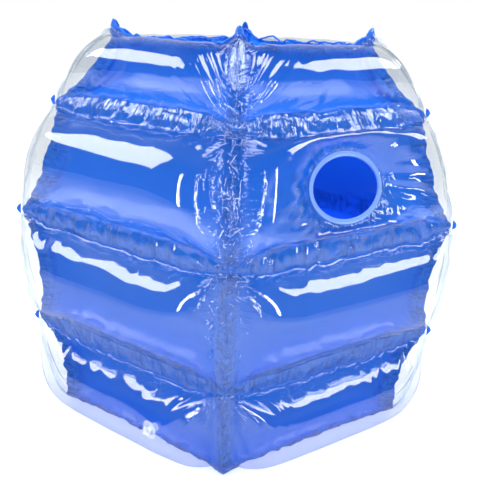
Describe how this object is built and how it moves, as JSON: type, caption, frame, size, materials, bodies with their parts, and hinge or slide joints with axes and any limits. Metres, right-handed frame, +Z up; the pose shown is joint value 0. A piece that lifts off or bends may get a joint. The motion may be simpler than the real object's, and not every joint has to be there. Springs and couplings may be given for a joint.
{
  "type": "inflatable bumper ball",
  "caption": "Inflatable wearable bumper ball: clear film over a blue liner, welded into tiers of air pillows round an open barrel, with oval arm holes and an inflation valve.",
  "frame": {"origin": "on the barrel's axis, on the floor that the bottom pillows rest on", "axes": "+Z up the open barrel, the wearer faces -Y, the arm holes face +X and -X, and the valve is on the -Y panel"},
  "size_m": [0.5076, 0.5076, 0.5445],
  "materials": {
    "clear_film": "clear glossy vinyl film",
    "blue_film": "opaque glossy vinyl film",
    "seam_film": "clear glossy vinyl tape",
    "ring_film": "clear glossy vinyl, heat welded",
    "valve": "soft clear moulded vinyl"
  },
  "bodies": {
    "ball": {"outer_panel_front": "clear_film", "outer_panel_right": "clear_film", "outer_panel_back": "clear_film", "outer_panel_left": "clear_film", "liner_panel_front": "blue_film", "liner_panel_right": "blue_film", "liner_panel_back": "blue_film", "liner_panel_left": "blue_film", "corner_seam_front_right": "seam_film", "corner_seam_back_right": "seam_film", "corner_seam_back_left": "seam_film", "corner_seam_front_left": "seam_film", "arm_ring_right": "ring_film", "arm_ring_left": "ring_film", "valve_body": "valve"},
    "stopper": {"valve_stopper": "valve"},
    "flap": {"valve_flap": "valve"}
  },
  "joints": [
    {"name": "stopper_hinge", "type": "hinge", "parent": "ball", "child": "stopper", "pos_m": [0.11039, -0.23433, 0.06609], "axis": [-0.6428, -0.1015, 0.7593], "range_deg": [0, 105]},
    {"name": "flap_hinge", "type": "hinge", "parent": "ball", "child": "flap", "pos_m": [0.10598, -0.2223, 0.06397], "axis": [0.6428, 0.1015, -0.7593], "range_deg": [0, 60], "stiffness_Nm_per_rad": 0.0001}
  ]
}
